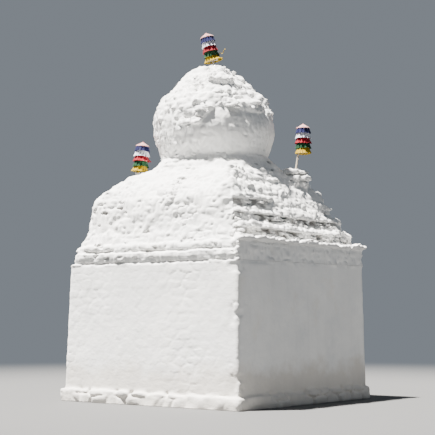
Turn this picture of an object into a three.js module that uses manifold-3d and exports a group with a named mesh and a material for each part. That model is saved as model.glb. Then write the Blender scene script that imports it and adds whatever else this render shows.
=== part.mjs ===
// A whitewashed stone stupa of the high Himalaya, worn by weather, with three cloth banners.
// Millimetres, +Z up. The origin is the centre of the plinth's base at ground level.
// The front faces -Y and the right side faces +X. The steps are still crisp on the right and
// back, and have slumped under old limewash to one slope on the front and left.
import * as THREE from "three";
import { LoftGeometry } from "three/addons/geometries/LoftGeometry.js";
import { mergeVertices } from "three/addons/utils/BufferGeometryUtils.js";
import Module from "manifold-3d";

const wasm = await Module();
wasm.setup();

// Driving dimensions
const GAP = 0.3; // between pieces that touch
const PLINTH_HALF = 1775; // half the plinth's width at its top
const FOOTING_TOP = 220;
const STRING_BOTTOM = 2240;
const STRING_TOP = 2420;
const CAP_BOTTOM = 2505;
const PLINTH_TOP = 2570;
const STEP_COUNT = 4; // under the top terrace
const STEP_RISE = 236;
const STEP_TREAD = 130;
const FIRST_STEP_HALF = 1690; // the lowest step's half width on its crisp sides
const SEAT_RISE = 270; // the mound that the dome stands on
const DOME_RISE = 1190;
const DOME_RADIUS = 1036; // at its widest
const VIEW_LEFT = new THREE.Vector2(-0.788, -0.616); // the way the dome and top banner lean

// How far the plinth's courses stand out past its half width
const FOOTING_REACH = 95;
const WALL_FOOT_REACH = 25;
const STRING_WORN_REACH = 25;
const FRIEZE_WORN_REACH = -25;
const CAP_REACH = { crisp: 45, worn: -20 };
const CAP_HEAD_REACH = { crisp: 20, worn: -45 };

// Half width of the slumped sides at each step's foot, and at the terrace's top
const WORN_HALVES = [1700, 1620, 1595, 1560, 1370, 1090];

// A step's section on its crisp sides: height over its foot, and how far it stands back. A riser
// stands back under a thick nose of old limewash, which slopes back to the tread.
const STEP_PROFILE = [
  [GAP, 32],
  [130, 32],
  [145, 0],
  [170, 8],
  [211, 50],
  [STEP_RISE, 85],
];
// The highest step's riser has filled up with lime, to one steep slope.
const FILLED_PROFILE = [
  [GAP, -40],
  [80, -15],
  [145, 10],
  [STEP_RISE, 85],
];
// The top terrace's: height over its foot, half widths on its crisp and worn sides
const TERRACE_PROFILE = [
  [GAP, 1205, WORN_HALVES[4]],
  [90, 1175, 1255],
  [STEP_RISE, 1050, WORN_HALVES[5]],
];
// The dome seat's: height over the terrace, half widths on both kinds of side, and its rounds
const SEAT_PROFILE = [
  [GAP, 1000, 1000, 620],
  [SEAT_RISE / 2, 965, 980, 800],
  [SEAT_RISE, 850, 915, 845],
];

// Heights that follow from them
const TERRACE_BOTTOM = PLINTH_TOP + STEP_COUNT * STEP_RISE;
const TERRACE_TOP = TERRACE_BOTTOM + STEP_RISE;
const SEAT_TOP = TERRACE_TOP + SEAT_RISE;

// Colours, roughness and metalness by material
const MATERIALS = {
  limewash: { color: 0xf1f0ec, roughness: 0.93, metalness: 0 },
  willow: { color: 0x9c8b70, roughness: 0.8, metalness: 0 },
  wire: { color: 0x6d665e, roughness: 0.55, metalness: 0.8 },
  linen: { color: 0xd9d2c2, roughness: 0.9, metalness: 0 },
  pink: { color: 0xe2a9a0, roughness: 0.85, metalness: 0 },
  blue: { color: 0x1f2a7a, roughness: 0.85, metalness: 0 },
  white: { color: 0xf2f0f2, roughness: 0.85, metalness: 0 },
  red: { color: 0xb3162b, roughness: 0.85, metalness: 0 },
  green: { color: 0x1f6b3a, roughness: 0.85, metalness: 0 },
  yellow: { color: 0xe2ad2f, roughness: 0.85, metalness: 0 },
};

const stupa = new THREE.Group();

function add(parent, name, geometry, material) {
  const mesh = new THREE.Mesh(geometry, new THREE.MeshStandardMaterial(MATERIALS[material]));
  mesh.name = name;
  parent.add(mesh);
  return mesh;
}

// Solids for cutting and joining

function solidOf(geometry) {
  const bare = geometry.index ? geometry.toNonIndexed() : geometry.clone();
  bare.deleteAttribute("normal");
  bare.deleteAttribute("uv");
  const merged = mergeVertices(bare, 1e-3);
  return new wasm.Manifold(
    new wasm.Mesh({
      numProp: 3,
      vertProperties: merged.attributes.position.array,
      triVerts: new Uint32Array(merged.index.array),
    }),
  );
}

function geometryOf(solid) {
  const mesh = solid.getMesh();
  const geometry = new THREE.BufferGeometry();
  geometry.setAttribute("position", new THREE.BufferAttribute(mesh.vertProperties, 3));
  geometry.setIndex(new THREE.BufferAttribute(mesh.triVerts, 1));
  geometry.computeVertexNormals();
  return geometry;
}

const cut = (geometry, ...tools) =>
  geometryOf(tools.reduce((left, tool) => left.subtract(solidOf(tool)), solidOf(geometry)));

const join = (...geometries) =>
  geometryOf(geometries.map(solidOf).reduce((joined, next) => joined.add(next)));

// Masonry sections

const ARC_STEPS = 5;
// Corner centres and start angles, anticlockwise from the back right corner
const CORNERS = [
  { name: "backRight", x: 1, y: 1, start: 0 },
  { name: "backLeft", x: -1, y: 1, start: Math.PI / 2 },
  { name: "frontLeft", x: -1, y: -1, start: Math.PI },
  { name: "frontRight", x: 1, y: -1, start: (3 * Math.PI) / 2 },
];

// A square ring at height z with its own half width on each side and its own round at each corner
function squareRing(z, { right, back, left, front }, rounds) {
  const points = [];
  for (const corner of CORNERS) {
    const round = rounds[corner.name];
    const centreX = corner.x > 0 ? right - round : round - left;
    const centreY = corner.y > 0 ? back - round : round - front;
    for (let i = 0; i <= ARC_STEPS; i++) {
      const angle = corner.start + (i / ARC_STEPS) * (Math.PI / 2);
      points.push(
        new THREE.Vector3(
          centreX + round * Math.cos(angle),
          centreY + round * Math.sin(angle),
          z,
        ),
      );
    }
  }
  return points;
}

const evenSides = (half) => ({ right: half, back: half, left: half, front: half });
const twoSides = (crisp, worn) => ({ right: crisp, back: crisp, left: worn, front: worn });
const evenRounds = (round) => ({
  backRight: round,
  backLeft: round,
  frontLeft: round,
  frontRight: round,
});
// The front left corner has slumped the most.
const slumped = (round) => ({ ...evenRounds(40), frontLeft: round });

const loft = (rings) => new LoftGeometry(rings, { capStart: true, capEnd: true });

// A level course between two heights, with its sides and corner rounds at its foot and its head
function course(bottom, top, foot, footRounds, head = foot, headRounds = footRounds) {
  return loft([squareRing(bottom + GAP, foot, footRounds), squareRing(top, head, headRounds)]);
}

function addPlinth() {
  const footing = evenSides(PLINTH_HALF + FOOTING_REACH);
  const footingHead = evenSides(PLINTH_HALF + FOOTING_REACH / 2);
  const string = twoSides(PLINTH_HALF, PLINTH_HALF + STRING_WORN_REACH);
  const frieze = twoSides(PLINTH_HALF, PLINTH_HALF + FRIEZE_WORN_REACH);
  const cap = twoSides(PLINTH_HALF + CAP_REACH.crisp, PLINTH_HALF + CAP_REACH.worn);
  const capHead = twoSides(PLINTH_HALF + CAP_HEAD_REACH.crisp, PLINTH_HALF + CAP_HEAD_REACH.worn);
  add(
    stupa,
    "footing_course",
    loft([
      squareRing(0, footing, evenRounds(60)),
      squareRing(FOOTING_TOP - 50, footing, evenRounds(60)),
      squareRing(FOOTING_TOP, footingHead, evenRounds(60)),
    ]),
    "limewash",
  );
  add(
    stupa,
    "plinth_wall",
    course(
      FOOTING_TOP,
      STRING_BOTTOM,
      evenSides(PLINTH_HALF + WALL_FOOT_REACH),
      slumped(60),
      evenSides(PLINTH_HALF),
      slumped(150),
    ),
    "limewash",
  );
  add(
    stupa,
    "string_course",
    course(STRING_BOTTOM, STRING_TOP, string, slumped(260), string, slumped(400)),
    "limewash",
  );
  add(stupa, "frieze_course", course(STRING_TOP, CAP_BOTTOM, frieze, slumped(340)), "limewash");
  add(
    stupa,
    "cap_course",
    loft([
      squareRing(CAP_BOTTOM + GAP, cap, slumped(440)),
      squareRing(PLINTH_TOP - 25, cap, slumped(480)),
      squareRing(PLINTH_TOP, capHead, slumped(520)),
    ]),
    "limewash",
  );
}

// One step: its crisp sides follow a profile, and its worn sides are one slope.
function stepGeometry(index) {
  const foot = PLINTH_TOP + index * STEP_RISE;
  const profile = index < STEP_COUNT - 1 ? STEP_PROFILE : FILLED_PROFILE;
  const crispHalf = FIRST_STEP_HALF - index * STEP_TREAD;
  const [wornFoot, wornHead] = WORN_HALVES.slice(index);
  const rounds = { backRight: 150, backLeft: 220, frontLeft: 300, frontRight: 130 };
  return loft(
    profile.map(([rise, back]) => {
      const wornHalf = THREE.MathUtils.lerp(wornFoot, wornHead, rise / STEP_RISE);
      return squareRing(foot + rise, twoSides(crispHalf - back, wornHalf), rounds);
    }),
  );
}

// Poles: each stands in its socket and leans a little.

// Where each pole leaves the masonry, the way it leans, and how its cloth hangs from its tip
const BANNERS = [
  {
    name: "top",
    foot: new THREE.Vector3(-43, -34, 5620),
    leanTo: VIEW_LEFT,
    poleLean: 0.24,
    clothLean: 0.24,
    free: 600,
  },
  {
    name: "left",
    foot: new THREE.Vector3(-925, -925, TERRACE_TOP),
    leanTo: VIEW_LEFT.clone().negate(),
    poleLean: 0.08,
    clothLean: 0.1,
    free: 560,
  },
  {
    name: "right",
    foot: new THREE.Vector3(1040, 825, 3870),
    leanTo: VIEW_LEFT.clone().negate(),
    poleLean: 0.165,
    clothLean: 0,
    free: 780,
  },
];
const PLANTED = 200; // how deep a pole goes into the masonry
const POLE_FOOT_RADIUS = 17;
const POLE_TIP_RADIUS = 12;
const POLE_SIDES = 10;

// The matrix of a frame at a point whose +Z leans by an angle towards a level direction
function leaning(point, towards, angle) {
  const axis = new THREE.Vector3(-towards.y, towards.x, 0).normalize();
  return new THREE.Matrix4()
    .makeRotationAxis(axis, angle)
    .setPosition(point.x, point.y, point.z);
}

// A tapered pole in the part's frame, made thicker by a clearance when it cuts its socket
function poleGeometry(banner, clearance = 0) {
  const length = banner.free + PLANTED;
  return new THREE.CylinderGeometry(
    POLE_TIP_RADIUS + clearance,
    POLE_FOOT_RADIUS + clearance,
    length + 2 * clearance,
    POLE_SIDES,
  )
    .rotateX(Math.PI / 2)
    .translate(0, 0, length / 2 - PLANTED)
    .applyMatrix4(leaning(banner.foot, banner.leanTo, banner.poleLean));
}

const [topBanner, leftBanner, rightBanner] = BANNERS;

// Rough blocks and round forms

// A lumpy round ring: its radius swells and shrinks a little round the axis
function roundRing(z, radius, centre = { x: 0, y: 0 }, lump = 0, count = 32) {
  const points = [];
  for (let i = 0; i < count; i++) {
    const angle = (i / count) * 2 * Math.PI;
    const swell = (Math.sin(3 * angle + z / 400) + Math.sin(5 * angle - z / 260)) / 2;
    points.push(
      new THREE.Vector3(
        centre.x + (radius + lump * swell) * Math.cos(angle),
        centre.y + (radius + lump * swell) * Math.sin(angle),
        z,
      ),
    );
  }
  return points;
}

// The stump of the terrace's corner that carries the right banner. It has three layers of
// stones with a gap between each two: height over the terrace's foot, and radius.
const CAIRN = { x: 1020, y: 810, bottom: TERRACE_BOTTOM };
const CAIRN_PROFILE = [
  [GAP, 215],
  [120, 230],
  [136, 200],
  [152, 262],
  [235, 265],
  [248, 212],
  [261, 226],
  [330, 208],
  [356, 150],
];

// The cairn, grown by a clearance where it cuts its seat
function cairnGeometry(clearance = 0) {
  return loft(
    CAIRN_PROFILE.map(([rise, radius]) =>
      roundRing(CAIRN.bottom + rise, radius + clearance, CAIRN, 14, 12),
    ),
  );
}

function addSteps() {
  for (let index = 0; index < STEP_COUNT; index++) {
    add(stupa, `step_${index + 1}`, stepGeometry(index), "limewash");
  }
  const rounds = { backRight: 200, backLeft: 220, frontLeft: 220, frontRight: 240 };
  const terrace = loft(
    TERRACE_PROFILE.map(([rise, crispHalf, wornHalf]) =>
      squareRing(TERRACE_BOTTOM + rise, twoSides(crispHalf, wornHalf), rounds),
    ),
  );
  // The cutter reaches over the terrace, so that no thin skin is left above the cairn.
  add(
    stupa,
    "top_terrace",
    cut(terrace, cairnGeometry(GAP), poleGeometry(leftBanner, GAP)),
    "limewash",
  );
  add(stupa, "back_right_cairn", cut(cairnGeometry(), poleGeometry(rightBanner, GAP)), "limewash");
}

// A low heap of stones that wedges a pole's foot
function collarGeometry(banner, radius, height) {
  const { x, y, z } = banner.foot;
  const heap = loft([
    roundRing(z + GAP, radius, { x, y }, 6, 12),
    roundRing(z + height * 0.6, radius * 0.8, { x, y }, 6, 12),
    roundRing(z + height, radius * 0.45, { x, y }, 4, 12),
  ]);
  return cut(heap, poleGeometry(banner, GAP));
}

// The dome: height over its seat, radius, and how far its axis has leaned
const DOME_PROFILE = [
  [GAP, 868, 45],
  [70, 905, 45],
  [180, 950, 45],
  [340, 1004, 45],
  [500, 1030, 45],
  [600, DOME_RADIUS, 50],
  [668, DOME_RADIUS - 8, 60],
  [682, DOME_RADIUS - 12, 62],
  [740, 1006, 68],
  [880, 950, 80],
  [1000, 875, 84],
  [1100, 780, 75],
  [DOME_RISE, 668, 68],
];
const DOME_LUMP = 18;
// The stump of the spire, over the dome: the same three values
const STUMP_PROFILE = [
  [GAP, 664, 68],
  [100, 608, 68],
  [210, 495, 80],
  [310, 375, 95],
  [370, 290, 105],
  [410, 200, 110],
];
const STUMP_LUMP = 12;
// Towards this angle the coat has fallen off the stones above its edge. It fades in between two
// cosines of the angle from there. Below its edge the coat has shrunk back.
const BARE = { towards: 0.14, fadeFrom: -0.25, fadeTo: 0.15 };
const COAT = { edge: 4700, fadeFrom: 4450, fadeTo: 4680, shrunk: 22 };
// A hollow in the stump's right
const HOLLOW = { centre: new THREE.Vector3(400, -20, 5380), radius: 150, rim: 80, depth: 75 };

// Moves a point of the dome or stump in towards their axis, as far as weather has carved there
function weathered(point) {
  const { smoothstep } = THREE.MathUtils;
  const facing = Math.cos(Math.atan2(point.y, point.x) - BARE.towards);
  const bare = smoothstep(facing, BARE.fadeFrom, BARE.fadeTo);
  const coated = point.z < COAT.edge;
  const shrinking = coated ? smoothstep(point.z, COAT.fadeFrom, COAT.fadeTo) : 0;
  const reach = point.distanceTo(HOLLOW.centre);
  const hollow = 1 - smoothstep(reach, HOLLOW.radius, HOLLOW.radius + HOLLOW.rim);
  const inwards = COAT.shrunk * bare * shrinking + HOLLOW.depth * hollow;
  const out = Math.hypot(point.x, point.y);
  const kept = (out - inwards) / out;
  return new THREE.Vector3(point.x * kept, point.y * kept, point.z);
}

function addDome() {
  add(
    stupa,
    "dome_seat",
    cut(
      loft(
        SEAT_PROFILE.map(([rise, crispHalf, wornHalf, round]) =>
          squareRing(TERRACE_TOP + rise, twoSides(crispHalf, wornHalf), evenRounds(round)),
        ),
      ),
      cairnGeometry(GAP),
    ),
    "limewash",
  );
  // Lumps grow from nothing at the dome's and the stump's ends.
  const rings = (profile, bottom, lump, count) =>
    profile.map(([rise, radius, lean]) => {
      const share = rise / profile.at(-1)[0];
      const centre = VIEW_LEFT.clone().multiplyScalar(lean);
      const swell = lump * Math.sin(Math.PI * share);
      return roundRing(bottom + rise, radius, centre, swell, count).map(weathered);
    });
  add(stupa, "dome", loft(rings(DOME_PROFILE, SEAT_TOP, DOME_LUMP, 32)), "limewash");

  const domeTop = SEAT_TOP + DOME_RISE;
  const stump = loft(rings(STUMP_PROFILE, domeTop, STUMP_LUMP, 24));
  topBanner.foot.z = domeTop + STUMP_PROFILE.at(-1)[0];
  add(stupa, "spire_stump", cut(stump, poleGeometry(topBanner, GAP)), "limewash");
}

// Banners: a cloth tube on a wire hoop, with a pointed cap and five flounces

const LINER_RADIUS = 103; // outside
const LINER_LENGTH = 430;
const CLOTH = 4; // thickness with its folds
const CAP_RISE = 86;
const CAP_SEAT = 62; // height of the pole's tip inside the cap
const FLOUNCE_DROP = 95;
const FLOUNCE_PITCH = 86;
const FLOUNCES = [
  ["blue", 20],
  ["white", 21],
  ["red", 27],
  ["green", 23],
  ["yellow", 33],
];
const CLOTH_SIDES = 20;
const HOOP_WIRE = 4;

// A closed profile turned about Z, given as [radius, height] points in order
function turned(profile) {
  const closed = [...profile, profile[0]].map(([radius, height]) => new THREE.Vector2(radius, height));
  return new THREE.LatheGeometry(closed, CLOTH_SIDES).rotateX(Math.PI / 2);
}

function linerGeometry() {
  const inside = LINER_RADIUS - CLOTH;
  return turned([
    [inside, -LINER_LENGTH],
    [LINER_RADIUS, -LINER_LENGTH],
    [LINER_RADIUS, 0],
    [inside, 0],
  ]);
}

// A flounce hangs from the liner and flares towards its hem.
function flounceGeometry(index, flare) {
  const top = -index * FLOUNCE_PITCH;
  const inside = LINER_RADIUS + GAP;
  const waist = inside + flare * 0.55;
  return turned([
    [inside + flare, top - FLOUNCE_DROP],
    [inside + flare + CLOTH, top - FLOUNCE_DROP],
    [waist + CLOTH, top - FLOUNCE_DROP * 0.45],
    [inside + CLOTH, top],
    [inside, top],
    [waist, top - FLOUNCE_DROP * 0.45],
  ]);
}

function capGeometry() {
  const rim = LINER_RADIUS + 8;
  const profile = [
    [0, CAP_SEAT],
    [POLE_TIP_RADIUS + 4, CAP_SEAT],
    [rim - 45, 34],
    [LINER_RADIUS - CLOTH, GAP],
    [rim, GAP],
    [rim - 38, 42],
    [18, CAP_RISE - 3],
    [0, CAP_RISE],
  ].map(([radius, height]) => new THREE.Vector2(radius, height));
  return new THREE.LatheGeometry(profile, CLOTH_SIDES).rotateX(Math.PI / 2);
}

// A wire hoop with a hub and four spokes, bored for its pole
function hoopGeometry(banner, clothMatrix) {
  const hoopRadius = LINER_RADIUS - CLOTH - GAP - HOOP_WIRE;
  const level = -HOOP_WIRE - 2;
  const parts = [
    new THREE.TorusGeometry(hoopRadius, HOOP_WIRE, 6, CLOTH_SIDES),
    new THREE.CylinderGeometry(30, 30, 16, 12).rotateX(Math.PI / 2),
  ];
  for (const turn of [0, Math.PI / 2]) {
    parts.push(
      new THREE.CylinderGeometry(HOOP_WIRE, HOOP_WIRE, 2 * hoopRadius, 6).rotateZ(turn),
    );
  }
  const hoop = join(...parts).translate(0, 0, level);
  return cut(hoop.applyMatrix4(clothMatrix), poleGeometry(banner, GAP));
}

function addBanner(banner) {
  add(stupa, `${banner.name}_pole`, poleGeometry(banner), "willow");
  // The cap sits on the pole's tip, clear of the tip's rim where the two lean differently.
  const rimRise = POLE_TIP_RADIUS * Math.sin(Math.abs(banner.poleLean - banner.clothLean));
  const tip = new THREE.Vector3(0, 0, banner.free).applyMatrix4(
    leaning(banner.foot, banner.leanTo, banner.poleLean),
  );
  const fromSeat = new THREE.Matrix4().makeTranslation(0, 0, rimRise + GAP - CAP_SEAT);
  const clothMatrix = leaning(tip, banner.leanTo, banner.clothLean).multiply(fromSeat);

  const cloth = new THREE.Group();
  cloth.applyMatrix4(clothMatrix);
  stupa.add(cloth);
  add(cloth, `${banner.name}_banner_cap`, capGeometry(), "pink");
  add(cloth, `${banner.name}_banner_liner`, linerGeometry(), "linen");
  FLOUNCES.forEach(([colour, flare], index) => {
    add(cloth, `${banner.name}_flounce_${colour}`, flounceGeometry(index, flare), colour);
  });
  add(stupa, `${banner.name}_banner_hoop`, hoopGeometry(banner, clothMatrix), "wire");
}

addPlinth();
addSteps();
addDome();
add(stupa, "top_pole_stones", collarGeometry(topBanner, 110, 36), "limewash");
add(stupa, "left_pole_stones", collarGeometry(leftBanner, 130, 26), "limewash");
BANNERS.forEach(addBanner);

export default stupa;
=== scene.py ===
"""The looks of a weathered, limewashed stone stupa with three cloth banners.

The masonry is one field of distances: plain forms, then stones, joints and lumps of old limewash.
Its surface is cut into the pieces that stand for the CAD courses. Metres, +Z up, front at -Y.
"""

import itertools
import math

import bmesh
import bpy
import numpy as np
import openvdb
from mathutils import Matrix, Vector


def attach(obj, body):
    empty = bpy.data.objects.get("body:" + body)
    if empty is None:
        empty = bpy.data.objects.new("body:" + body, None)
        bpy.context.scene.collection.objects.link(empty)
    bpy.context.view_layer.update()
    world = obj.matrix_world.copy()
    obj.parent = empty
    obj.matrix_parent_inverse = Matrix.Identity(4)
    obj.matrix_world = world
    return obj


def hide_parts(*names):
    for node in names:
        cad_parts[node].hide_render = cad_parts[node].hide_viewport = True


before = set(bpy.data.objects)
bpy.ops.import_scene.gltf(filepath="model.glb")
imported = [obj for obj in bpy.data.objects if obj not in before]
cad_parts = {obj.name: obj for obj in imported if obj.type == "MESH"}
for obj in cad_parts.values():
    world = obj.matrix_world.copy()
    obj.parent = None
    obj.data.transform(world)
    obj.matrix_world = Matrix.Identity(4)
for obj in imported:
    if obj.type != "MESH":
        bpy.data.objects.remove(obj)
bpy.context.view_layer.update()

WALL_VOXEL = 0.021
STEP_VOXEL = 0.014
DOME_VOXEL = 0.013

# Heights of the masonry
FOOTING_TOP = 0.22
STRING_BOTTOM = 2.24
STRING_TOP = 2.42
CAP_BOTTOM = 2.505
PLINTH_TOP = 2.57
STEP_RISE = 0.236
STEP_TREAD = 0.13
NOSE_HEIGHT = 0.15  # of a step's nose over its foot
BATTERS = (0.12, 0.15, 0.3, 0.3)  # how far each riser leans back, as a share of its height
FIRST_STEP_HALF = 1.69
TERRACE_BOTTOM = PLINTH_TOP + 4 * STEP_RISE
TERRACE_TOP = TERRACE_BOTTOM + STEP_RISE
SEAT_TOP = TERRACE_TOP + 0.27
DOME_TOP = 5.21
STUMP_TOP = 5.62

# The level directions to the right of the photo and towards its camera
PHOTO_AZIMUTH = 38
VIEW_RIGHT = np.array([math.cos(math.radians(PHOTO_AZIMUTH)), math.sin(math.radians(PHOTO_AZIMUTH))])
VIEW_NEAR = np.array([VIEW_RIGHT[1], -VIEW_RIGHT[0]])

NEAR_CORNER = (1.78, -1.78)
CAIRN = np.array([1.02, 0.81])
CAIRN_REACH = 0.295
BARE_WAY = np.array([math.cos(0.14), math.sin(0.14)])  # the dome's coat has fallen off this side
COAT_EDGE = 4.78
STUMP_HOLLOW = np.array([0.40, -0.02, 5.38])

SUN_WAY = Vector((-0.220, -0.262, 0.940))  # towards the sun
SUN_ENERGY = 34
SKY_STRENGTH = 0.31
CAMERA_DISTANCE = 21.2
CAMERA_HEIGHT = 1.5
AIM_HEIGHT = 3.05
LENS = 104


# Noise

SIDE = 64
TABLES = {}


def table(seed, width):
    """Random numbers from -1 to 1, which repeat every SIDE cells"""
    if (seed, width) not in TABLES:
        values = np.random.default_rng(seed).uniform(-1, 1, (SIDE, SIDE, SIDE, width))
        TABLES[seed, width] = values.astype(np.float32).squeeze()
    return TABLES[seed, width]


def noise(p, size, seed):
    """Smooth noise from -1 to 1, with features about size metres wide"""
    q = p / np.asarray(size, np.float32) + np.float32(seed * 3.7)
    cell = np.floor(q)
    f = q - cell
    f = f * f * (3 - 2 * f)
    near = cell.astype(np.int32) % SIDE
    far = (near + 1) % SIDE
    values = table(seed, 1)
    total = np.zeros(len(p), np.float32)
    for ends in itertools.product((0, 1), repeat=3):
        corner = [far[:, k] if ends[k] else near[:, k] for k in range(3)]
        weight = np.ones(len(p), np.float32)
        for k in range(3):
            weight *= f[:, k] if ends[k] else 1 - f[:, k]
        total += weight * values[corner[0], corner[1], corner[2]]
    return total


def scattered(p, size, seed):
    """Distance to the nearest of scattered points, in sizes"""
    q = p / np.asarray(size, np.float32)
    cell = np.floor(q).astype(np.int32)
    jitter = table(seed, 3)
    near = np.full(len(p), 9, np.float32)
    for offset in itertools.product((-1, 0, 1), repeat=3):
        at = cell + np.array(offset, np.int32)
        wrapped = at % SIDE
        centre = at + 0.5 + 0.42 * jitter[wrapped[:, 0], wrapped[:, 1], wrapped[:, 2]]
        near = np.minimum(near, ((q - centre) ** 2).sum(1))
    return np.sqrt(near)


def rubble(s, z, length, height, seed):
    """Rough stones in uneven courses on a wall; s runs along it and z up it.
    Gives the distance in from a stone's edge, and a value from -1 to 1 that each stone has."""
    flat = 2.2  # heights count more than lengths, so the stones lie flat
    s, z = s / length + 500, z / height + 500
    values = table(seed, 4)
    column, row = np.floor(s).astype(np.int32), np.floor(z).astype(np.int32)
    best = np.full((2, len(s)), 99.0, np.float32)
    spot = np.zeros((2, 2, len(s)), np.float32)
    kept = np.zeros(len(s), np.float32)
    for i, j in itertools.product((-1, 0, 1), repeat=2):
        at_s, at_z = column + i, row + j
        shift = values[at_s % SIDE, at_z % SIDE, (at_s // SIDE + 5) % SIDE]
        centre_s = (at_s + 0.5 * (at_z % 2) + 0.36 * shift[:, 0]) * length
        centre_z = (at_z + 0.5 + 0.24 * shift[:, 1]) * height
        gap = (s * length - centre_s) ** 2 + (flat * (z * height - centre_z)) ** 2
        first = gap < best[0]
        between = ~first & (gap < best[1])
        best[1] = np.where(first, best[0], np.where(between, gap, best[1]))
        spot[1] = np.where(first, spot[0], np.where(between, (centre_s, centre_z), spot[1]))
        best[0] = np.where(first, gap, best[0])
        spot[0] = np.where(first, (centre_s, centre_z), spot[0])
        kept = np.where(first, shift[:, 2], kept)
    apart = np.hypot(spot[1, 0] - spot[0, 0], flat * (spot[1, 1] - spot[0, 1]))
    return (best[1] - best[0]) / (2 * np.maximum(apart, 1e-3)), kept


def ease(low, high, x):
    """From 0 where x is at low to 1 where it is at high"""
    t = np.clip((x - low) / (high - low), 0, 1)
    return t * t * (3 - 2 * t)


def lower(a, b, k):
    """The smaller of two distances, blended over k metres"""
    h = np.clip(0.5 + 0.5 * (b - a) / k, 0, 1)
    return b + (a - b) * h - k * h * (1 - h)


def upper(a, b, k):
    return -lower(-a, -b, k)


# Plain forms. Distances are negative inside.

def from_axis(p, centre):
    """Level distance from an upright line"""
    return np.hypot(p[:, 0] - centre[0], p[:, 1] - centre[1])


def near(p, centre, reach):
    return from_axis(p, centre) < reach


def square(p, sides, rounds):
    """Distance to an upright column. sides: half widths at right, back, left and front.
    rounds: corner radii at back right, back left, front left and front right."""
    right, back, left, front = sides
    at_right, at_back = p[:, 0] > 0, p[:, 1] > 0
    corner = np.where(
        at_right,
        np.where(at_back, rounds[0], rounds[3]),
        np.where(at_back, rounds[1], rounds[2]),
    )
    qx = np.abs(p[:, 0]) - np.where(at_right, right, left) + corner
    qy = np.abs(p[:, 1]) - np.where(at_back, back, front) + corner
    outside = np.hypot(np.maximum(qx, 0), np.maximum(qy, 0))
    return outside + np.minimum(np.maximum(qx, qy), 0) - corner


def from_rows(z, rows, column):
    rows = np.array(rows)
    return np.interp(z, rows[:, 0], rows[:, column])


def slope_at(z, rows, column):
    return np.interp(z, rows[:, 0], np.gradient(rows[:, column], rows[:, 0]))


# Height, half width of the crisp sides, half width of the worn sides, front left corner's radius
PLINTH_ROWS = [
    (0.22, 1.800, 1.800, 0.06),
    (2.225, 1.775, 1.775, 0.15),
    (2.238, 1.773, 1.752, 0.20),
    (2.250, 1.773, 1.752, 0.24),
    (2.270, 1.773, 1.772, 0.26),
    (2.330, 1.773, 1.788, 0.32),
    (2.395, 1.773, 1.788, 0.38),
    (2.412, 1.773, 1.745, 0.36),
    (2.430, 1.773, 1.742, 0.34),
    (2.450, 1.773, 1.755, 0.34),
    (2.495, 1.766, 1.752, 0.40),
    (2.512, 1.800, 1.750, 0.44),
    (2.530, 1.822, 1.742, 0.48),
    (2.560, 1.815, 1.720, 0.52),
]
# Height, crisp and worn half widths of the slumped mass
SLUMP_ROWS = [
    (2.40, 1.60, 1.73),
    (2.57, 1.56, 1.70),
    (2.806, 1.46, 1.625),
    (3.042, 1.37, 1.595),
    (3.27, 1.345, 1.56),
    (3.36, 1.316, 1.51),
    (3.43, 1.287, 1.46),
    (3.514, 1.22, 1.37),
    (3.63, 1.165, 1.24),
    (3.75, 1.06, 1.10),
]
SEAT_ROWS = [
    (3.70, 1.02, 0.58),
    (3.75, 1.00, 0.62),
    (3.885, 0.965, 0.80),
    (4.02, 0.885, 0.87),
    (4.10, 0.80, 0.79),
]
# Height, radius and how far the axis has moved to the photo's left
DOME_ROWS = [
    (3.98, 0.850, 0.045),
    (4.02, 0.868, 0.045),
    (4.09, 0.905, 0.045),
    (4.20, 0.950, 0.045),
    (4.36, 1.004, 0.045),
    (4.52, 1.030, 0.045),
    (4.62, 1.036, 0.050),
    (4.76, 1.004, 0.068),
    (4.90, 0.950, 0.080),
    (5.02, 0.875, 0.084),
    (5.12, 0.780, 0.075),
    (5.21, 0.668, 0.068),
    (5.31, 0.608, 0.068),
    (5.42, 0.495, 0.080),
    (5.52, 0.375, 0.095),
    (5.58, 0.290, 0.105),
    (5.64, 0.150, 0.110),
]


def smooth_rows(rows):
    """The same rows, close together and with their bends eased"""
    z = np.arange(rows[0][0], rows[-1][0], 0.01)
    window = np.hanning(13)
    window /= window.sum()
    columns = []
    for k in range(1, len(rows[0])):
        values = np.pad(from_rows(z, rows, k), 6, mode="edge")
        columns.append(np.convolve(values, window, "valid"))
    return np.column_stack([z, *columns])


DOME_CURVE = smooth_rows(DOME_ROWS)
DOME_ARC = np.append(0, np.cumsum(np.hypot(*np.diff(DOME_CURVE[:, :2], axis=0).T)))
SLUMP_CURVE = smooth_rows(SLUMP_ROWS)


def risen(p):
    """How much the courses of the right side rise towards the photo's near corner"""
    return 0.045 * crisp_share(p) * ease(2.6, 0.2, from_axis(p, NEAR_CORNER))


def plinth_form(p):
    wander = 0.014 * noise(p, 0.45, 5) + 0.006 * noise(p, 0.13, 6)
    level = p[:, 2] - risen(p)
    z = level + np.where(level > 2.1, wander, 0)
    crisp, worn, slump = (from_rows(z, PLINTH_ROWS, k) for k in (1, 2, 3))
    column = square(p, (crisp, crisp, worn, worn), (0.045, 0.05, slump, 0.04))
    body = upper(column, level - PLINTH_TOP, 0.03)
    footing = square(p, (1.855,) * 4, (0.06,) * 4)
    return lower(body, upper(footing, p[:, 2] - FOOTING_TOP + 0.015, 0.05), 0.03)


def buried(p, index):
    """How far lime has filled a crisp step's riser: the third in part, the fourth wholly"""
    if index < 2:
        return np.zeros(len(p))
    y = p[:, 1] + 0.2 * noise(p, 0.3, 34)
    if index == 2:
        return ease(-0.55, -0.25, y) * ease(1.05, 0.85, y)
    return np.ones(len(p))


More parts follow.
